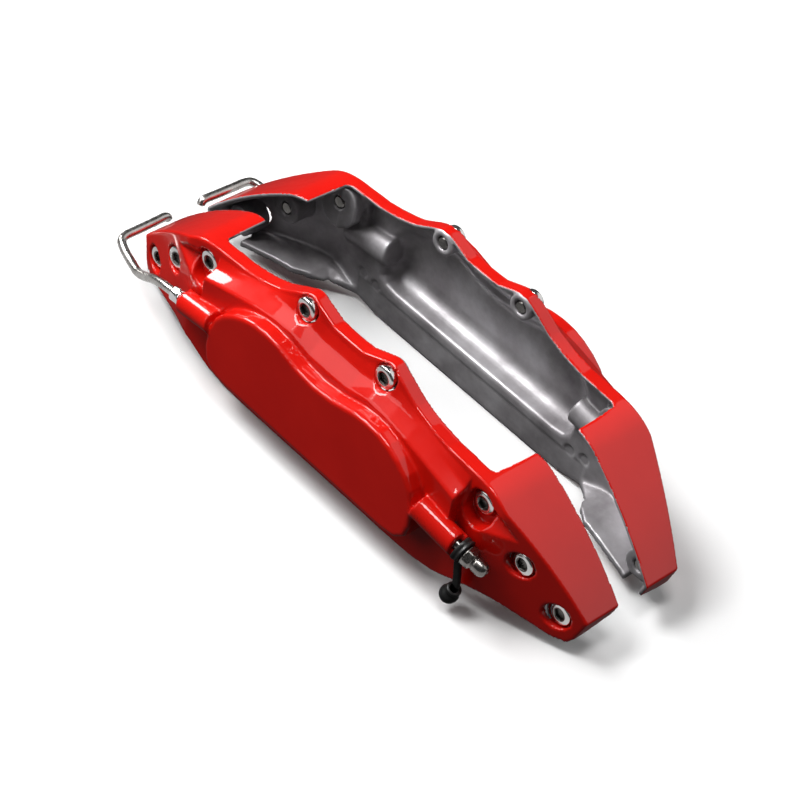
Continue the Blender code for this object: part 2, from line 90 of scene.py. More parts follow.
# The outer face in y and z: below the bevel, the bevel, and above it. The facet is in x and y.
LOWER_FACE = ((46.0, -70.0), (45.0, -15.5))
BEVEL_FACE = ((45.0, -15.5), (42.6, -10.0))
UPPER_FACE = ((42.6, -10.0), (41.6, 20.0))
END_FACET = ((100.0, 42.0), (200.0, 6.0))
SHOULDER_END_X = 78.0
PAD_OUTLINE = [
    (0.0, -10.0), (11.0, -8.8), (24.0, -5.4), (31.0, -4.7), (38.0, -5.2), (44.0, -6.9), (50.5, -10.0),
    (56.0, -14.0), (60.0, -19.0), (62.5, -26.0), (63.0, -36.0), (61.5, -42.0), (57.5, -45.6),
    (50.0, -46.8), (0.0, -46.8),
]  # fmt: skip
PAD_FACE_Y = 58.0
PAD_FLANK = 1.5
INNER_EDGE = [
    (0.0, 35.3), (81.0, 35.3), (83.2, 34.0), (84.1, 11.9), (140.5, 8.3), (150.0, 8.3), (150.0, -40.0),
    (0.0, -40.0),
]  # fmt: skip
FLOOR_OPENING = [
    (0.0, 43.0), (72.0, 43.0), (80.0, 36.5), (87.0, 26.0), (94.0, 20.8), (110.0, 18.0), (127.0, 15.5),
    (137.0, 11.0), (137.0, -40.0), (0.0, -40.0),
]  # fmt: skip
FLOOR_OPENING_TOP = -50.5
# The slant, in y and z, that relieves the lower lip beyond END_RELIEF_X
END_RELIEF = ((5.0, -49.0), (27.5, -57.5))
END_RELIEF_X = 124.0

# The boss's inner side bulges into the hollow along this line
INNER_BULGE = ((85.0, 46.6, -31.4), (58.5, 46.8, -28.2))
BULGE_RADIUS = 7.2
EJECTOR_MARKS = [(62.3, -49.0), (71.0, -47.5)]
EJECTOR_MARK_RADIUS = 2.7
EJECTOR_MARK_Y = 43.25
RECESS_INSET = 2.0
RECESS_FILLET = 9.0

BOSS_RADIUS = 5.6
BOSS_END = (87.0, 51.4, -30.6)
BOSS_LENGTH = 24.0
BOSS_DIRECTION = (0.965, -0.111, -0.235)
BORE_RADIUS = 2.5
BORE_DEPTH = 8.0

# kind: |x|, z, |y| of the head's top, |y| of the inner boss's end, counterbore and inner boss radii
SCREWS = {
    "hump": (24.1, 8.4, 44.3, 34.3, 5.9, 6.1),
    "pocket": (85.6, -12.7, 41.3, 33.5, 6.7, 9.4),
    "end_inner": (109.0, -29.9, 37.6, 26.0, 6.3, 7.6),
    "end_outer": (127.9, -47.3, 29.9, 17.5, 6.3, 7.6),
}
SCREW_ORDER = ["end_outer", "end_inner", "pocket", "hump"]
POCKET_FLOOR_Y = 38.6
POCKET_LOW_Z = -17.0
# The groove that runs out of each pocket: its outer tip, and its two corners at the pocket
GROOVE = ((107.5, 39.8, -18.4), (93.3, 42.6, -9.4), (92.6, 42.6, -18.8))
GROOVE_DEPTH_Y = 39.0
HEAD_RADIUS = 5.35
HEAD_HEIGHT = 3.2
GAP = 0.3
SHANK_RADIUS = 2.95
THREAD_ROOT_RADIUS = 2.55
SHANK_HOLE_RADIUS = 3.3

ORIGIN = Vector(((PIPE_REACH - HALF_LENGTH) / 2, 0.0, STANDING_HEIGHT)) * MM


# ---------------------------------------------------------------------------------------------
# Distance fields in millimetres, negative inside.


def intersect(a, b, radius=0.0):
    """Both fields, with their shared edge rounded."""
    if not radius:
        return np.maximum(a, b)
    corner = np.hypot(np.maximum(a + radius, 0.0), np.maximum(b + radius, 0.0))
    return np.minimum(np.maximum(a, b), -radius) + corner


def unite(a, b, radius=0.0):
    """Either field, with a fillet of that radius where they meet."""
    return -intersect(-a, -b, radius)


def cut(a, b, radius=0.0):
    return intersect(a, -b, radius)


def polygon_distance(points, u, v):
    """Signed distance in the plane to a closed polygon."""
    shape = np.broadcast_shapes(u.shape, v.shape)
    best = np.full(shape, 1e9, np.float32)
    inside = np.zeros(shape, bool)
    for (ax, ay), (bx, by) in zip(points, points[1:] + points[:1]):
        ex, ey = bx - ax, by - ay
        wx, wy = u - ax, v - ay
        t = np.clip((wx * ex + wy * ey) / (ex * ex + ey * ey), 0.0, 1.0)
        best = np.minimum(best, (wx - t * ex) ** 2 + (wy - t * ey) ** 2)
        crosses = (ay > v) != (by > v)
        if ey:
            inside ^= crosses & (u < ax + ex * wy / ey)
    return np.where(inside, -np.sqrt(best), np.sqrt(best)).astype(np.float32)


def line_distance(start, end, u, v):
    """Signed distance to the line through two points; positive on the left of its direction."""
    ex, ey = end[0] - start[0], end[1] - start[1]
    length = math.hypot(ex, ey)
    return ((v - start[1]) * ex - (u - start[0]) * ey) / length


def whole(half):
    return half + [(-x, z) for x, z in reversed(half) if x > 0.0]


def deck_arc(steps=24):
    """The deck's outline from the window's end to the shell's: a bend, then an arc."""
    (x0, z0), (x1, z1), (x2, z2) = DECK_BEND
    for i in range(steps):
        t = i / steps
        a, b, c = (1 - t) ** 2, 2 * t * (1 - t), t * t
        yield a * x0 + b * x1 + c * x2, a * z0 + b * z1 + c * z2
    centre_x, centre_z = END_ARC_CENTRE
    start = x2
    for i in range(steps + 1):
        x = start + (HALF_LENGTH - start) * i / steps
        yield x, centre_z + math.sqrt(END_ARC_RADIUS**2 - (x - centre_x) ** 2)


def silhouette():
    return whole(DECK_OUTLINE + list(deck_arc()) + FOOT_OUTLINE)


class Grid:
    """Sample points in a box, spaced a voxel apart."""

    def __init__(self, low, high, voxel):
        self.voxel = voxel
        self.low = np.array(low, np.float64)
        axes = [np.arange(a, b, voxel, dtype=np.float32) for a, b in zip(low, high)]
        self.x, self.y, self.z = axes[0][:, None, None], axes[1][None, :, None], axes[2][None, None, :]

    def round_y(self, x, z):
        """Distance from a line along Y."""
        return np.hypot(self.x - x, self.z - z)

    def rod(self, start, end):
        """Distance off the axis from start to end, distance along it, and the axis's length."""
        start, end = Vector(start), Vector(end)
        axis = (end - start).normalized()
        dx, dy, dz = self.x - start.x, self.y - start.y, self.z - start.z
        along = dx * axis.x + dy * axis.y + dz * axis.z
        off = np.sqrt(np.maximum(dx * dx + dy * dy + dz * dz - along * along, 0.0))
        return off, along, (end - start).length


def shoulder_field(g):
    """The stepped shoulder above the pad, with two slopes that meet in a valley."""
    outlines = []
    for half in (SHOULDER_TOP, SHOULDER_RIDGE, SHOULDER_EDGE):
        xs, zs = np.array(half).T
        outlines.append(np.interp(g.x, xs, zs).astype(np.float32))
    slopes = []
    for upper_z, lower_z, y0, y1 in zip(outlines, outlines[1:], SHOULDER_Y, SHOULDER_Y[1:]):
        slope = (lower_z - upper_z) / (y1 - y0)
        slopes.append((g.z - upper_z - slope * (g.y - y0)) / np.sqrt(1.0 + slope * slope))
    shoulder = unite(slopes[0], slopes[1], 0.3)
    shoulder = intersect(shoulder, g.z - outlines[0], 0.4)
    shoulder = intersect(shoulder, g.y - SHOULDER_Y[2], 0.6)
    shoulder = intersect(shoulder, g.x - SHOULDER_END_X, 0.5)
    bottom = -line_distance((0.0, SHOULDER_LOW_Z), (SHOULDER_END_X, SHOULDER_LOW_Z), g.x, g.z)
    return intersect(shoulder, bottom, 0.8)


def groove_field(g):
    """A triangular notch from the pocket towards the shell's end, deepest at the pocket."""
    tip, upper, lower = (Vector(corner) for corner in GROOVE)
    deep = Vector((88.0, GROOVE_DEPTH_Y, (upper.z + lower.z) / 2 + 1.0))
    sides = []
    for edge, sign in ((upper, 1.0), (lower, -1.0)):
        normal = (edge - tip).cross(deep - tip).normalized() * sign
        if normal.z * sign < 0.0:
            normal = -normal
        sides.append((g.x - tip.x) * normal.x + (g.y - tip.y) * normal.y + (g.z - tip.z) * normal.z)
    notch = intersect(sides[0], sides[1])
    return np.maximum(np.maximum(notch, 86.0 - g.x), g.x - tip.x - 4.0)


def crisp(points, painted, bare, g):
    """Points moved onto the line where paint ends, and how far each lies on the bare side of it."""
    for _ in range(2):
        paint_depth, paint_slope = sampled(g, painted, points)
        bare_depth, bare_slope = sampled(g, bare, points)
        over = np.abs(paint_depth) - np.abs(bare_depth)
        slope = paint_slope * np.sign(paint_depth)[:, None] - bare_slope * np.sign(bare_depth)[:, None]
        normal = np.where((np.abs(paint_depth) < np.abs(bare_depth))[:, None], paint_slope, bare_slope)
        normal /= np.maximum(np.linalg.norm(normal, axis=1), 1e-6)[:, None]
        slope = slope - normal * (slope * normal).sum(axis=1)[:, None]
        squared = np.maximum((slope**2).sum(axis=1), 0.2)
        step = -over / squared
        near = np.abs(step) * np.sqrt(squared) < 0.5 * g.voxel
        points = points + slope * np.where(near, step, 0.0)[:, None]
    return points, np.where(near, 0.0, over)


def shell_field(g):
    """The shell's distance field, the field of what is painted, and that of the bare hollows."""
    outline = polygon_distance(silhouette(), g.x, g.z)
    lower = -line_distance(*LOWER_FACE, g.y, g.z)
    bevel = -line_distance(*BEVEL_FACE, g.y, g.z)
    upper = -line_distance(*UPPER_FACE, g.y, g.z)
    facet = line_distance(*END_FACET, g.x, g.y)
    face = intersect(lower, unite(bevel, upper, 0.5), 0.5)
    faces = intersect(face, facet, 0.6)
    housing = intersect(outline, faces, 0.55)
    shoulder = shoulder_field(g)
    pad_outline = polygon_distance(whole(PAD_OUTLINE), g.x, g.z)
    pad = intersect(pad_outline - PAD_FLANK, g.y - PAD_FACE_Y, 1.6)

    axis = Vector(BOSS_DIRECTION).normalized()
    tip = Vector(BOSS_END)
    off, along, length = g.rod(tip - axis * BOSS_LENGTH, tip)
    boss = intersect(intersect(off - BOSS_RADIUS, along - length, 0.4), -along)

    painted = unite(housing, shoulder, 0.4)
    painted = unite(painted, pad, 0.5)
    painted = unite(painted, boss, 0.8)

    cavity = intersect(intersect(face + WALL, facet + WALL, 2.0), outline + WALL, 2.0)
    recess = intersect(pad_outline + RECESS_INSET, g.y - (PAD_FACE_Y - WALL), RECESS_FILLET)
    upper_hollow = np.maximum(shoulder + WALL, g.y - SHOULDER_Y[2] + WALL + 1.0)
    deep = unite(np.maximum(recess, 30.0 - g.y), np.maximum(upper_hollow, 36.0 - g.y), 5.0)
    cavity = unite(cavity, deep, 2.2)
    bulge_off, bulge_along, bulge_length = g.rod(*INNER_BULGE)
    bulge_past = np.abs(bulge_along - bulge_length / 2) - bulge_length / 2
    bulge = intersect(bulge_off - BULGE_RADIUS, bulge_past, 1.0)
    cavity = cut(cavity, bulge, 1.0)
    for x, z in EJECTOR_MARKS:
        mark = intersect(g.round_y(x, z) - EJECTOR_MARK_RADIUS, g.y - EJECTOR_MARK_Y)
        cavity = unite(cavity, np.maximum(mark, 38.0 - g.y), 0.15)
    floor = np.maximum(polygon_distance(FLOOR_OPENING, g.x, g.y), g.z - FLOOR_OPENING_TOP)
    relief = np.maximum(line_distance(*END_RELIEF, g.y, g.z), END_RELIEF_X - g.x)
    inner_edge = polygon_distance(INNER_EDGE, g.x, g.y)
    thinned = intersect(inner_edge - 4.0, outline + 1.5 + 0.38 * np.maximum(inner_edge, 0.0), 0.5)
    thinned = np.maximum(thinned, -outline - WALL - 0.6)

    seats = []
    for kind, (x, z, head_y, inner_y, radius, boss_radius) in SCREWS.items():
        low_z = POCKET_LOW_Z if kind == "pocket" else z
        ring = np.hypot(g.x - x, g.z - np.clip(g.z, low_z, z))
        seat_y = head_y - HEAD_HEIGHT - GAP
        inner_boss = intersect(ring - boss_radius, inner_y - g.y, 0.5)
        inner_boss = np.maximum(inner_boss, g.y - seat_y - 3.2)
        cavity = cut(cavity, inner_boss, 0.8)
        thinned = cut(thinned, inner_boss)
        if kind == "hump":
            inner_edge = cut(inner_edge, np.maximum(inner_boss, outline + 0.1), 0.2)
        if kind == "pocket":
            pocket = np.maximum(ring - radius, POCKET_FLOOR_Y - g.y)
            groove = groove_field(g)
            cavity = cut(cavity, np.minimum(pocket, groove) - 1.5, 0.8)
            painted = cut(painted, pocket, 0.4)
            painted = cut(painted, groove, 0.25)
            radius = HEAD_RADIUS + GAP
        painted = cut(painted, np.maximum(g.round_y(x, z) - radius, seat_y - g.y), 0.35)
        seats.append(np.maximum(g.round_y(x, z) - SHANK_HOLE_RADIUS, 10.0 - g.y))
    bore = np.maximum(np.maximum(off - BORE_RADIUS, along - length - 1.0), length - BORE_DEPTH - along)
    painted = cut(painted, bore, 0.3)

    solid = painted
    bare = np.full(painted.shape, 1e3, np.float32)
    for hollow, radius in ((cavity, 0.35), (floor, 0.35), (relief, 0.35), (inner_edge, 0.35), (thinned, 0.3)):
        solid = cut(solid, hollow, radius)
        bare = np.minimum(bare, hollow)
    for hole in seats:
        solid = cut(solid, hole, 0.3)
        bare = np.minimum(bare, hole)
    return solid, painted, bare


def sampled(g, field, points):
    """The field's value and gradient at each point, by linear interpolation."""
    place = np.clip((points - g.low) / g.voxel, 0.0, np.array(field.shape) - 1.001)
    cell = place.astype(int)
    part = place - cell
    weights = [(1.0 - part[:, i], part[:, i]) for i in range(3)]
    result = np.zeros((len(points), 4))
    for a, b, c in np.ndindex(2, 2, 2):
        value = field[cell[:, 0] + a, cell[:, 1] + b, cell[:, 2] + c]
        wx, wy, wz = weights[0][a], weights[1][b], weights[2][c]
        result[:, 0] += wx * wy * wz * value
        result[:, 1] += (2 * a - 1) * wy * wz * value / g.voxel
        result[:, 2] += wx * (2 * b - 1) * wz * value / g.voxel
        result[:, 3] += wx * wy * (2 * c - 1) * value / g.voxel
    return result[:, 0], result[:, 1:]


def surface(g, field):
    """Points and quads of the field's zero surface."""
    grid = openvdb.FloatGrid(3.0)
    grid.copyFromArray(np.clip(field, -3.0, 3.0).astype(np.float32))
    points, quads = grid.convertToQuads(0.0)
    points = points * g.voxel + g.low
    for _ in range(3):
        distance, gradient = sampled(g, field, points)
        squared = np.maximum((gradient**2).sum(axis=1), 0.15)
        points = points - gradient * np.clip(distance / squared, -0.4, 0.4)[:, None]
    return points, quads


def mesh_of(name, points, quads, side):
    """A mesh in world metres, with its faces turned outwards."""
    placed = points * np.array([1.0, side, 1.0]) * MM + np.array(ORIGIN)
    a, b, c, d = (placed[quads[:, i]] for i in range(4))
    if np.einsum("ij,ij", a, np.cross(b, c) + np.cross(c, d)) < 0.0:
        quads = quads[:, ::-1]
    mesh = bpy.data.meshes.new(name)
    mesh.vertices.add(len(placed))
    mesh.vertices.foreach_set("co", placed.astype(np.float32).ravel())
    mesh.loops.add(quads.size)
    mesh.loops.foreach_set("vertex_index", np.ascontiguousarray(quads, np.int32).ravel())
    mesh.polygons.add(len(quads))
    mesh.polygons.foreach_set("loop_start", np.arange(0, quads.size, 4, dtype=np.int32))
    mesh.update(calc_edges=True)
    mesh.validate()
    mesh.shade_smooth()
    return mesh


def whole_grid(g):
    """The grid of a field joined to its mirror image in x = 0."""
    whole = Grid(g.low, g.low + 1.0, g.voxel)
    whole.low = np.array([-float(g.x[-1, 0, 0]), g.low[1], g.low[2]])
    return whole


# ---------------------------------------------------------------------------------------------
# Pieces


def add_object(name, mesh, materials):
    piece = bpy.data.objects.new(name, mesh)
    bpy.context.scene.collection.objects.link(piece)
    mesh.materials.clear()
    for material in materials:
        mesh.materials.append(material)
    return piece


def stand_for(piece, node):
    """The piece shows in place of its CAD node, on that node's body."""
    body = next(name for name, nodes in frame["record"]["behaviour"]["bodies"].items() if node in nodes)
    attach(piece, body)
    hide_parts(node)


def build_shells(paint, metal):
    g = Grid((VOXEL / 2, 3.5, -67.0), (144.0, 62.5, 17.5), VOXEL)
    solid, painted, bare = shell_field(g)
    whole = whole_grid(g)
    points, quads = surface(whole, np.concatenate([solid[::-1], solid]))
    fields = [np.concatenate([field[::-1], field]) for field in (painted, bare)]
    points, over = crisp(points, *fields, whole)
    face_bare = over[quads].sum(axis=1) > 0.0
    for side_name, side in SIDES.items():
        mesh = mesh_of(f"{side_name}_cover", points, quads, side)
        piece = add_object(f"{side_name}_cover", mesh, [paint, metal])
        mesh.polygons.foreach_set("material_index", face_bare.astype(np.int32))
        stand_for(piece, f"{side_name}_shell")


def hexagon(angle, across_flats):
    sector = math.pi / 3.0
    return across_flats / 2.0 / math.cos((angle + sector / 2.0) % sector - sector / 2.0)


SEGMENTS = 96


def turned_mesh(name, rows, segments=SEGMENTS, sharp=28.0):
    """Rings about +Z. Each row is height, radius and, for a hexagonal ring, its width across flats.

    A hexagonal ring is cut off at its radius, so that its corners are chamfered.
    """
    shape = bmesh.new()
    loops = []
    for height, radius, *flats in rows:
        ring = []
        for i in range(segments):
            angle = math.tau * i / segments
            reach = min(radius, hexagon(angle, flats[0])) if flats else radius
            ring.append(shape.verts.new((reach * math.cos(angle), reach * math.sin(angle), height)))
        loops.append(ring)
    for lower, upper in zip(loops, loops[1:]):
        for i in range(segments):
            j = (i + 1) % segments
            shape.faces.new((lower[i], lower[j], upper[j], upper[i]))
    for ring in (loops[0], loops[-1]):
        shape.faces.new(ring)
    bmesh.ops.recalc_face_normals(shape, faces=shape.faces)
    mesh = bpy.data.meshes.new(name)
    shape.to_mesh(mesh)
    shape.free()
    mesh.transform(Matrix.Scale(MM, 4))
    mesh.shade_smooth()
    mesh.set_sharp_from_angle(angle=math.radians(sharp))
    return mesh


def placed(mesh, place, direction, name, roll=0.0):
    """A copy of a mesh modelled along +Z, moved to a place in the shells' frame."""
    copy = mesh.copy()
    copy.name = name
    turn = Vector(direction).to_track_quat("Z", "Y").to_matrix().to_4x4()
    spin = Matrix.Rotation(roll, 4, "Z")
    copy.transform(Matrix.Translation(ORIGIN + Vector(place) * MM) @ turn @ spin)
    return copy


def build_screws(steel, socket_shade_steel):
    sequence = [(kind, -1) for kind in SCREW_ORDER] + [(kind, 1) for kind in reversed(SCREW_ORDER)]
    meshes = {}
    for kind, (_, _, head_y, inner_y, _, _) in SCREWS.items():
        shank = head_y - inner_y - 0.5 - HEAD_HEIGHT
        top = -HEAD_HEIGHT
        rows = [(top - shank, 2.4), (top - shank + 0.6, SHANK_RADIUS)]
        turns = int(shank - 2.0)
        for turn in range(turns):
            start = top - shank + 0.9 + turn
            rows += [(start, SHANK_RADIUS)]
            rows += [(start + 0.45, THREAD_ROOT_RADIUS), (start + 0.55, THREAD_ROOT_RADIUS)]
        rows += [(top - 0.6, SHANK_RADIUS), (top, SHANK_RADIUS)]
        rows += [(top + 0.02, 5.0), (top + 0.25, 5.3), (top + 0.35, HEAD_RADIUS), (-1.0, HEAD_RADIUS)]
        rows += [(-0.72, 5.3), (-0.42, 5.08), (-0.2, 4.65), (-0.07, 4.1), (0.0, 3.5), (0.0, 3.25)]
        socket_row = len(rows)
        rows += [(-0.08, 3.08)]
        rows += [(-0.3, 2.95, 5.2), (-0.4, 2.92, 5.0), (-1.9, 2.92, 5.0), (-1.95, 2.6, 4.9), (-2.5, 0.4)]
        meshes[kind] = turned_mesh(f"screw_{kind}", rows), socket_row
    for side_name, side in SIDES.items():
        for number, (kind, end) in enumerate(sequence, 1):
            x, z, head_y, *_ = SCREWS[kind]
            name = f"{side_name}_screw_{number}"
            roll = 0.7 * number + side
            model, socket_row = meshes[kind]
            mesh = placed(model, (x * end, side * head_y, z), (0, side, 0), name, roll)
            piece = add_object(f"{name}_fine", mesh, [steel, socket_shade_steel])
            # The hex socket from its rim down and the shank's tip take the darker steel: painted shade inside
            # the socket
            row = np.arange(len(mesh.polygons)) // SEGMENTS
            dark = (row >= socket_row - 1) | (row == 0)
            mesh.polygons.foreach_set("material_index", dark.astype(np.int32))
            stand_for(piece, name)
            metal_pieces.objects.link(piece)


PIPE_ROUTE = [
    (-93.6, 50.6, -32.2), (-98.5, 50.1, -33.4), (-104.0, 49.2, -35.0), (-111.0, 47.9, -38.4),
    (-118.0, 46.0, -43.2), (-125.5, 43.6, -47.4), (-132.5, 41.8, -47.4), (-139.5, 40.4, -45.7),
    (-143.6, 38.4, -44.7), (-145.1, 34.8, -44.5), (-145.4, 27.5, -44.6), (-145.8, 18.0, -44.8),
    (-146.1, 12.8, -44.9), (-146.0, 10.4, -45.5), (-145.5, 9.4, -47.6),
]  # fmt: skip
PIPE_RADIUS = 2.08


def smooth_route(points, steps):
    """Points along a smooth curve through the given points, by Catmull-Rom."""
    ends = [2 * points[0] - points[1], *points, 2 * points[-1] - points[-2]]
    route = []
    for a, b, c, d in zip(ends, ends[1:], ends[2:], ends[3:]):
        for i in range(steps):
            t = i / steps
            square, cube = (2 * a - 5 * b + 4 * c - d) * t**2, (3 * b - 3 * c + d - a) * t**3
            route.append(0.5 * (2 * b + (c - a) * t + square + cube))
    return [*route, points[-1]]


def tube_mesh(name, route, radii, segments=40):
    """A round tube along the route, with a radius at each point."""
    shape = bmesh.new()
    loops = []
    tangents = [
        (route[min(i + 1, len(route) - 1)] - route[max(i - 1, 0)]).normalized() for i in range(len(route))
    ]
    across = tangents[0].orthogonal().normalized()
    for place, tangent, radius in zip(route, tangents, radii):
        across = (across - tangent * across.dot(tangent)).normalized()
        other = tangent.cross(across)
        ring = []
        for i in range(segments):
            angle = math.tau * i / segments
            spoke = across * math.cos(angle) + other * math.sin(angle)
            ring.append(shape.verts.new(place + spoke * radius))
        loops.append(ring)
    for lower, upper in zip(loops, loops[1:]):
        for i in range(segments):
            j = (i + 1) % segments
            shape.faces.new((lower[i], lower[j], upper[j], upper[i]))
    for ring in (loops[0], loops[-1]):
        shape.faces.new(ring)
    bmesh.ops.recalc_face_normals(shape, faces=shape.faces)
    mesh = bpy.data.meshes.new(name)
    shape.to_mesh(mesh)
    shape.free()
    mesh.transform(Matrix.Translation(ORIGIN) @ Matrix.Scale(MM, 4))
    mesh.shade_smooth()
    mesh.set_sharp_from_angle(angle=math.radians(50.0))
    return mesh


def build_pipes(steel):
    for side_name, side in SIDES.items():
        points = [Vector((x, side * y, z)) for x, y, z in PIPE_ROUTE]
        route = smooth_route(points, 8)
        radii = [PIPE_RADIUS] * len(route)
        tangent = (route[-1] - route[-2]).normalized()
        tip = route[-1] - tangent * PIPE_RADIUS * 0.8
        route, radii = route[:-4], radii[:-4]
        for i in range(1, 8):
            angle = math.pi / 2 * i / 7
            route.append(tip + tangent * PIPE_RADIUS * 0.8 * math.sin(angle))
            radii.append(max(PIPE_RADIUS * math.cos(angle), 0.15))
        piece = add_object(f"{side_name}_pipe", tube_mesh(f"{side_name}_pipe", route, radii), [steel])
        stand_for(piece, f"{side_name}_fluid_pipe")
        metal_pieces.objects.link(piece)


# Rows along each fitting from the boss's end: distance, radius and, where hexagonal, width across flats
NUT_ROWS = [
    (-5.8, 2.0), (-5.5, 2.2), (0.3, 2.2), (0.31, 3.2), (0.5, 3.5), (0.8, 3.6), (2.1, 3.6), (2.3, 3.5),
    (2.45, 3.3), (2.6, 3.4, 6.5), (2.9, 3.62, 6.6), (6.2, 3.62, 6.6), (6.6, 3.4, 6.5), (6.8, 3.1),
    (7.0, 2.9), (7.0, 2.5), (6.9, 2.38), (5.6, 2.38),
]  # fmt: skip
BLEED_ROWS = [
    (-5.8, 2.0), (-5.5, 2.2), (0.3, 2.2), (0.31, 3.0), (0.45, 3.2), (3.85, 3.2), (3.95, 3.4), (4.05, 4.1),
    (4.2, 4.35), (4.35, 4.5), (4.55, 4.55), (4.7, 4.5, 8.2), (5.0, 4.6, 8.2), (7.4, 4.6, 8.2),
    (7.9, 4.45, 8.2), (8.3, 4.15), (8.6, 3.7), (8.8, 3.3), (9.0, 3.1), (9.2, 3.1), (9.4, 3.3),
    (9.7, 3.42), (10.2, 3.45), (12.4, 3.42), (13.4, 3.3), (14.2, 3.0), (14.8, 2.6), (15.2, 2.15),
    (15.45, 1.7), (15.58, 1.3), (15.6, 0.9), (15.5, 0.8), (13.5, 0.75),
]  # fmt: skip


def build_fittings(nut_steel, chrome):
    nut = turned_mesh("union_nut", NUT_ROWS)
    bleed = turned_mesh("bleed_screw", BLEED_ROWS)
    for side_name, side in SIDES.items():
        x, y, z = BOSS_END
        dx, dy, dz = BOSS_DIRECTION
        mesh = placed(nut, (-x, side * y, z), (-dx, side * dy, dz), f"{side_name}_nut", 0.2)
        piece = add_object(f"{side_name}_nut", mesh, [nut_steel])
        stand_for(piece, f"{side_name}_union_nut")
        metal_pieces.objects.link(piece)
        mesh = placed(bleed, (x, side * y, z), (dx, side * dy, dz), f"{side_name}_bleeder", 0.35)
        piece = add_object(f"{side_name}_bleeder", mesh, [chrome])
        stand_for(piece, f"{side_name}_bleed_screw")
        metal_pieces.objects.link(piece)


RING_RADIUS = 5.75
RING_SPAN = (0.2, 3.7)
STRAP_ROUTE = [(87.9, 51.3, -35.8), (89.2, 51.9, -41.0), (91.0, 52.7, -47.0), (91.0, 52.8, -52.0)]
CAP_MOUTH = Vector((91.0, 52.8, -51.0))
CAP_DIRECTION = Vector((-0.38, 0.0, -0.925)).normalized()


def build_caps(rubber):
    """The rubber ring, strap and ball-shaped cap, as one soft moulding."""
    g = Grid((79.0, 43.0, -64.0), (100.0, 60.0, -22.0), 0.22)
    tip = Vector(BOSS_END)
    axis = Vector(BOSS_DIRECTION).normalized()
    off, along, _ = g.rod(tip, tip + axis * 5.0)
    ring = intersect(intersect(off - RING_RADIUS, along - RING_SPAN[1], 0.8), RING_SPAN[0] - along, 0.4)
    groove = np.hypot(off - 6.2, along - 2.2) - 0.8
    ring = cut(ring, groove, 0.3)
    field = ring
    route = smooth_route([Vector(p) for p in STRAP_ROUTE], 3)
    for a, b in zip(route, route[1:]):
        centre = (a + b) / 2
        run = (b - a).normalized()
        wide = run.cross(Vector((0.0, 1.0, 0.0))).normalized()
        deep = run.cross(wide).normalized()
        offsets = [grid_axis - c for grid_axis, c in zip((g.x, g.y, g.z), centre)]
        d = [sum(offset * v for offset, v in zip(offsets, w)) for w in (run, wide, deep)]
        half = (b - a).length / 2 + 0.5
        box = intersect(np.abs(d[1]) - 1.7, np.abs(d[2]) - 1.05, 0.6)
        field = unite(field, np.maximum(box, np.abs(d[0]) - half), 0.05)
    off_cap, along_cap, _ = g.rod(CAP_MOUTH, CAP_MOUTH + CAP_DIRECTION * 5.0)
    ball = np.hypot(off_cap, (along_cap - 5.3) * 1.02) - 4.3
    neck = intersect(off_cap - 3.0, np.abs(along_cap - 2.0) - 2.0, 0.4)
    lip = np.hypot(off_cap - 2.7, along_cap - 0.8) - 0.75
    cap = unite(unite(ball, neck, 0.8), lip, 0.3)
    field = unite(field, cap, 0.8)
    field = cut(field, np.maximum(off_cap - 2.05, np.abs(along_cap - 2.0) - 4.0), 0.2)
    field = cut(field, off - 3.5, 0.2)
    points, quads = surface(g, field)
    for side_name, side in SIDES.items():
        piece = add_object(f"{side_name}_cap", mesh_of(f"{side_name}_cap", points, quads, side), [rubber])
        stand_for(piece, f"{side_name}_dust_cap")


# ---------------------------------------------------------------------------------------------
# Materials


class Look:
    """A node-based material under construction."""

    def __init__(self, name):
        self.material = bpy.data.materials.new(name)
        self.material.use_nodes = True
        self.nodes = self.material.node_tree.nodes
        self.links = self.material.node_tree.links
        self.shader = self.nodes["Principled BSDF"]
        self.place = self.nodes.new("ShaderNodeTexCoord").outputs["Object"]

    def set(self, **values):
        for name, value in values.items():
            self.shader.inputs[name.replace("_", " ")].default_value = value
        return self

    def noise(self, scale, detail=2.0, roughness=0.5):
        node = self.nodes.new("ShaderNodeTexNoise")
        node.inputs["Scale"].default_value = scale
        node.inputs["Detail"].default_value = detail
        node.inputs["Roughness"].default_value = roughness
        self.links.new(self.place, node.inputs["Vector"])
        return node.outputs["Fac"]

    def ramp(self, source, stops):
        """A colour ramp; each stop is a position and an RGB colour or a grey level."""
        node = self.nodes.new("ShaderNodeValToRGB")
        elements = node.color_ramp.elements
        while len(elements) < len(stops):
            elements.new(0.5)
        for element, (position, colour) in zip(elements, stops):
            element.position = position
            colour = colour if isinstance(colour, tuple) else (colour, colour, colour)
            element.color = (*colour, 1.0)
        self.links.new(source, node.inputs["Fac"])
        return node.outputs["Color"]

    def feed(self, name, source):
        self.links.new(source, self.shader.inputs[name])
        return self

    def bump(self, source, distance, strength=1.0, below=None):
        node = self.nodes.new("ShaderNodeBump")
        node.inputs["Distance"].default_value = distance
        node.inputs["Strength"].default_value = strength
        self.links.new(source, node.inputs["Height"])
        if below:
            self.links.new(below, node.inputs["Normal"])
        self.links.new(node.outputs["Normal"], self.shader.inputs["Normal"])
        return node.outputs["Normal"]


def red_paint():
    look = Look("gloss_red_paint")
    look.set(Coat_Weight=0.8, Coat_Roughness=0.02, Coat_IOR=1.5, Specular_IOR_Level=0.12)
    tone = look.ramp(look.noise(35.0, 3.0), [(0.3, (0.54, 0.005, 0.002)), (0.7, (0.60, 0.007, 0.003))])
    look.feed("Base Color", tone)
    look.feed("Roughness", look.ramp(look.noise(160.0, 3.0), [(0.3, 0.28), (0.7, 0.38)]))
    look.bump(look.noise(420.0, 2.0), 0.00002, 0.5)
    return look.material


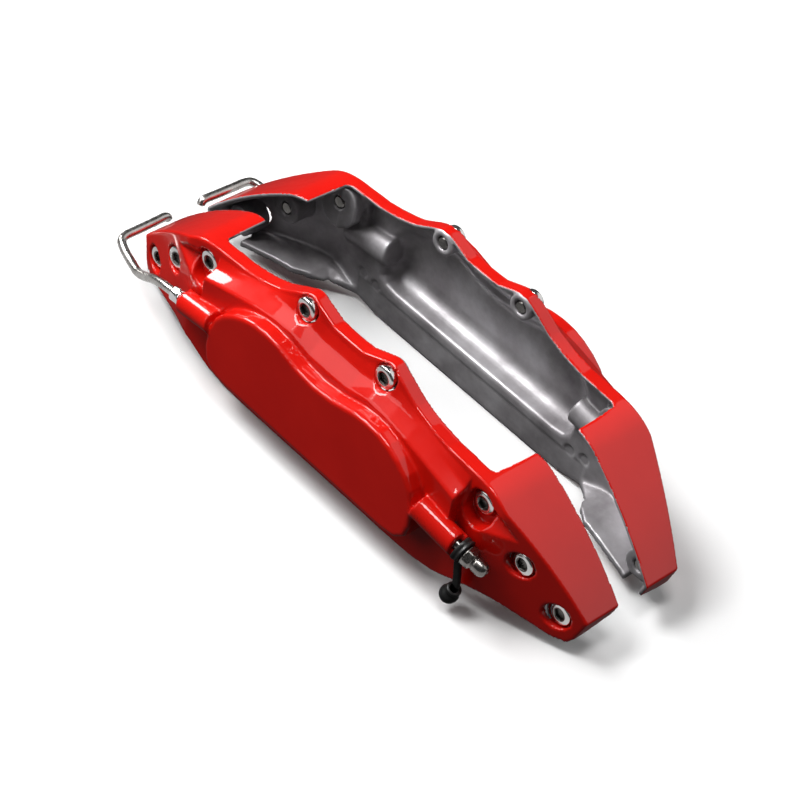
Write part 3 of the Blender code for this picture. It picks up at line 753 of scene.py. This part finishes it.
def cast_metal():
    look = Look("bare_cast_metal")
    look.set(Metallic=0.5)
    cloud = look.noise(28.0, 6.0, 0.62)
    tones = [(0.3, (0.20, 0.185, 0.195)), (0.5, (0.40, 0.38, 0.395)), (0.7, (0.62, 0.605, 0.625))]
    look.feed("Base Color", look.ramp(cloud, tones))
    look.feed("Roughness", look.ramp(look.noise(90.0, 5.0, 0.6), [(0.25, 0.36), (0.75, 0.55)]))
    grain = look.bump(look.noise(1400.0, 3.0, 0.6), 0.00004, 0.35)
    look.bump(look.noise(120.0, 3.0), 0.00025, 0.3, grain)
    return look.material


def plated(name, dark, light, rough_low, rough_high):
    look = Look(name)
    look.set(Metallic=1.0)
    look.feed("Base Color", look.ramp(look.noise(180.0, 4.0), [(0.3, dark), (0.7, light)]))
    look.feed("Roughness", look.ramp(look.noise(600.0, 4.0), [(0.3, rough_low), (0.7, rough_high)]))
    look.bump(look.noise(2500.0, 2.0), 0.00001, 0.3)
    return look.material


def black_rubber():
    look = Look("black_rubber")
    look.set(Specular_IOR_Level=0.5)
    look.feed("Base Color", look.ramp(look.noise(300.0, 3.0), [(0.3, 0.008), (0.7, 0.016)]))
    look.feed("Roughness", look.ramp(look.noise(500.0, 3.0), [(0.3, 0.28), (0.7, 0.42)]))
    look.bump(look.noise(1800.0, 3.0), 0.00003, 0.4)
    return look.material


# ---------------------------------------------------------------------------------------------
# Camera, light and floor


def build_stage():
    scene = bpy.context.scene
    scene.view_settings.view_transform = "Standard"
    camera = bpy.data.objects.new("camera", bpy.data.cameras.new("camera"))
    camera.location = (0.55975, -0.69898, 0.84327)
    camera.rotation_euler = [math.radians(angle) for angle in (46.5297, -9.339, 47.2477)]
    camera.data.lens = 127.428
    camera.data.sensor_width = 36.0
    scene.collection.objects.link(camera)
    scene.camera = camera

    floor_look = Look("pale_floor")
    floor_look.set(Roughness=0.9, Specular_IOR_Level=0.1)
    floor_look.feed("Base Color", floor_look.ramp(floor_look.noise(3.0), [(0.3, 0.80), (0.7, 0.82)]))
    mesh = bpy.data.meshes.new("floor")
    shape = bmesh.new()
    bmesh.ops.create_grid(shape, x_segments=2, y_segments=2, size=4.0)
    shape.to_mesh(mesh)
    shape.free()
    floor = add_object("floor", mesh, [floor_look.material])
    floor.location.z = -0.0004
    floor.visible_glossy = False
    floor.visible_diffuse = False

    world = bpy.data.worlds.new("studio")
    world.use_nodes = True
    background = world.node_tree.nodes["Background"]
    background.inputs["Color"].default_value = (1.0, 1.0, 1.0, 1.0)
    background.inputs["Strength"].default_value = 0.05
    scene.world = world

    middle = Vector((0.0, 0.0, 0.04))
    for name, towards, distance, size, radiance in LIGHTS:
        light = bpy.data.lights.new(name, "AREA")
        light.shape = "RECTANGLE"
        light.size, light.size_y = size
        light.energy = radiance * math.pi * size[0] * size[1]
        lamp = bpy.data.objects.new(name, light)
        lamp.location = middle + Vector(towards).normalized() * distance
        lamp.rotation_euler = Vector(towards).to_track_quat("Z", "Y").to_euler()
        scene.collection.objects.link(lamp)

    card = bpy.data.lights.new("bounce_card", "AREA")
    card.shape = "RECTANGLE"
    card.size, card.size_y = BOUNCE_SIZE
    card.energy = BOUNCE_RADIANCE * math.pi * BOUNCE_SIZE[0] * BOUNCE_SIZE[1]
    lamp = bpy.data.objects.new("bounce_card", card)
    lamp.location = (0.0, 0.0, 0.0005)
    lamp.rotation_euler = (math.pi, 0.0, 0.0)
    lamp.visible_camera = False
    lamp.light_linking.receiver_collection = metal_pieces
    scene.collection.objects.link(lamp)


# Each light's name, direction from the object, distance, width and height, and radiance
LIGHTS = [
    ("key_softbox", (-0.47, -0.31, 0.83), 1.4, (0.7, 0.55), 17.0),
    ("rear_panel", (0.48, 0.70, 0.55), 1.4, (1.9, 1.6), 0.9),
    ("front_panel", (-0.45, -0.70, 0.50), 1.4, (0.9, 0.8), 1.7),
    ("left_strip", (-0.883, -0.023, 0.469), 1.46, (0.45, 0.4), 20.0),
    ("top_strip", (0.135, -0.13, 0.98), 1.42, (0.4, 0.3), 17.0),
]
# A card under the object that only the bright metal pieces see
BOUNCE_SIZE = (0.7, 0.5)
BOUNCE_RADIANCE = 0.6

metal_pieces = bpy.data.collections.new("metal_pieces")
paint = red_paint()
build_stage()
build_shells(paint, cast_metal())
build_screws(
    plated("bright_steel", (0.62, 0.61, 0.60), (0.78, 0.77, 0.76), 0.14, 0.26),
    # darker steel that paints shade into the hex sockets
    plated("socket_shade_steel", (0.10, 0.095, 0.09), (0.20, 0.19, 0.18), 0.24, 0.38),
)
build_pipes(plated("satin_pipe", (0.42, 0.40, 0.38), (0.60, 0.58, 0.56), 0.22, 0.34))
build_fittings(
    plated("bright_nut", (0.74, 0.74, 0.75), (0.86, 0.86, 0.87), 0.12, 0.22),
    plated("dark_chrome_plate", (0.17, 0.16, 0.15), (0.30, 0.285, 0.27), 0.22, 0.32),
)
build_caps(black_rubber())
